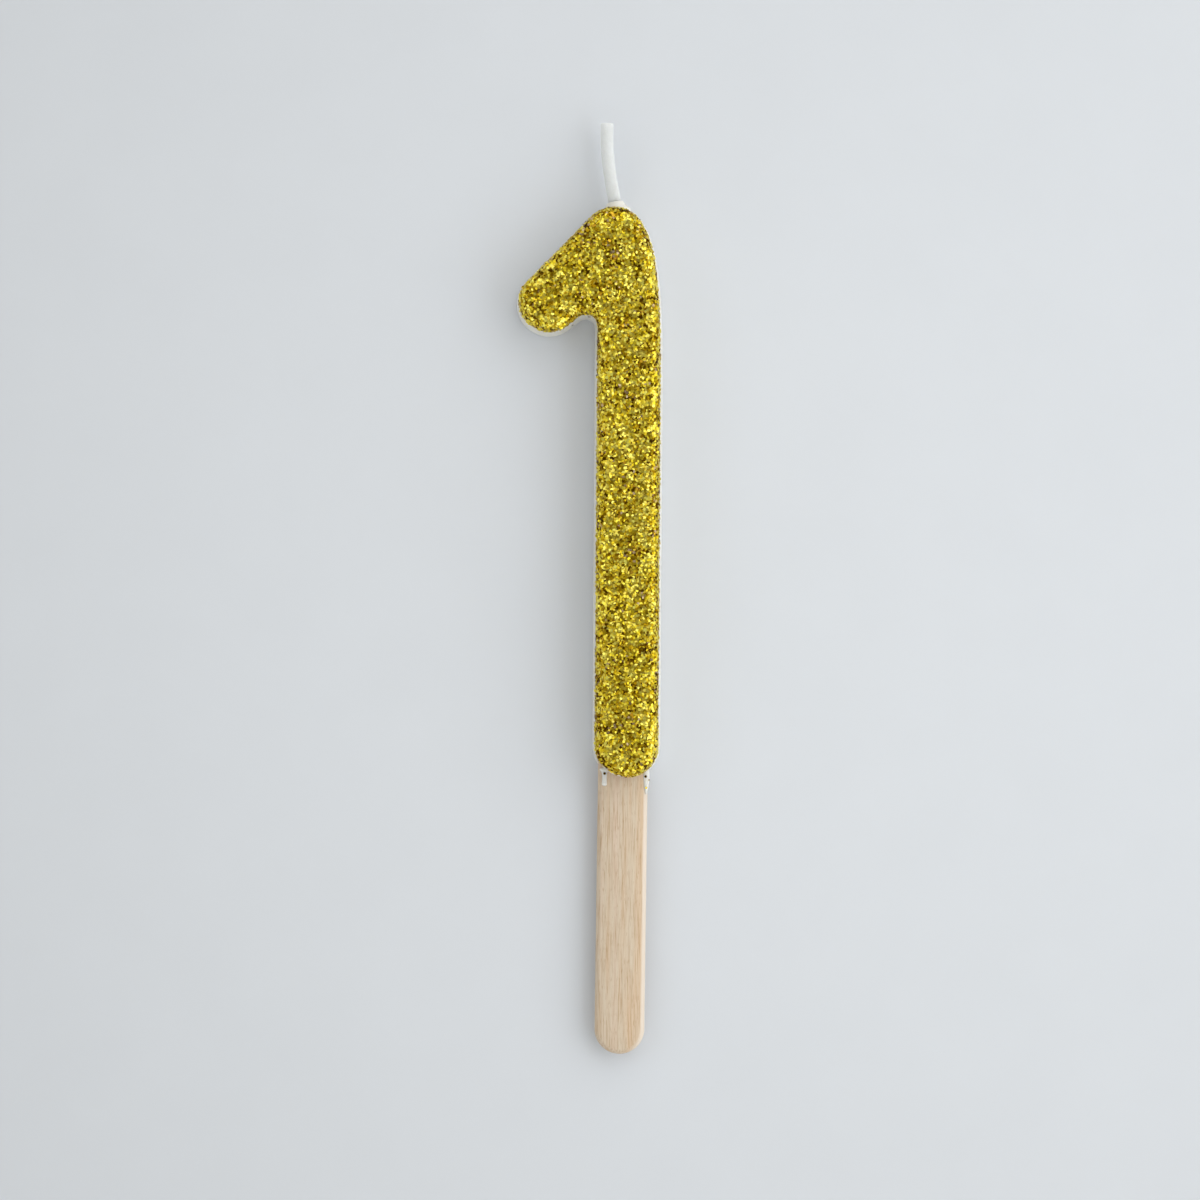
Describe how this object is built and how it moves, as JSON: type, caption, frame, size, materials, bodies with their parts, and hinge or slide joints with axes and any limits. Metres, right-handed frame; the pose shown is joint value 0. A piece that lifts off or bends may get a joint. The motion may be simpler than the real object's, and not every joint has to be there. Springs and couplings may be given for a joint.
{
  "type": "number candle",
  "caption": "Slim cast wax numeral one with a glittered front, a flat round-ended wooden stick in its foot and a short cotton wick at its head.",
  "frame": {"origin": "on the flat back of the wax, at the centre of the round foot of the stem, so z = 0 is the surface that the candle lies on", "axes": "+Y up the stem to the wick, +Z out of the glittered front, +X to the right of the numeral seen from its front"},
  "size_m": [0.0201, 0.1267, 0.0074],
  "materials": {
    "wax": "white candle wax, satin and slightly translucent",
    "adhesive": "clear adhesive toned gold by the flakes in it",
    "glitter": "gold metallised polyester flakes",
    "birch": "bare sanded birch",
    "cotton": "waxed cotton braid"
  },
  "bodies": {
    "root": {"wax_body": "wax", "adhesive_film": "adhesive", "glitter_layer": "glitter", "wood_stick": "birch", "wick": "cotton", "wax_drip": "wax", "wax_smear": "wax"}
  },
  "joints": []
}
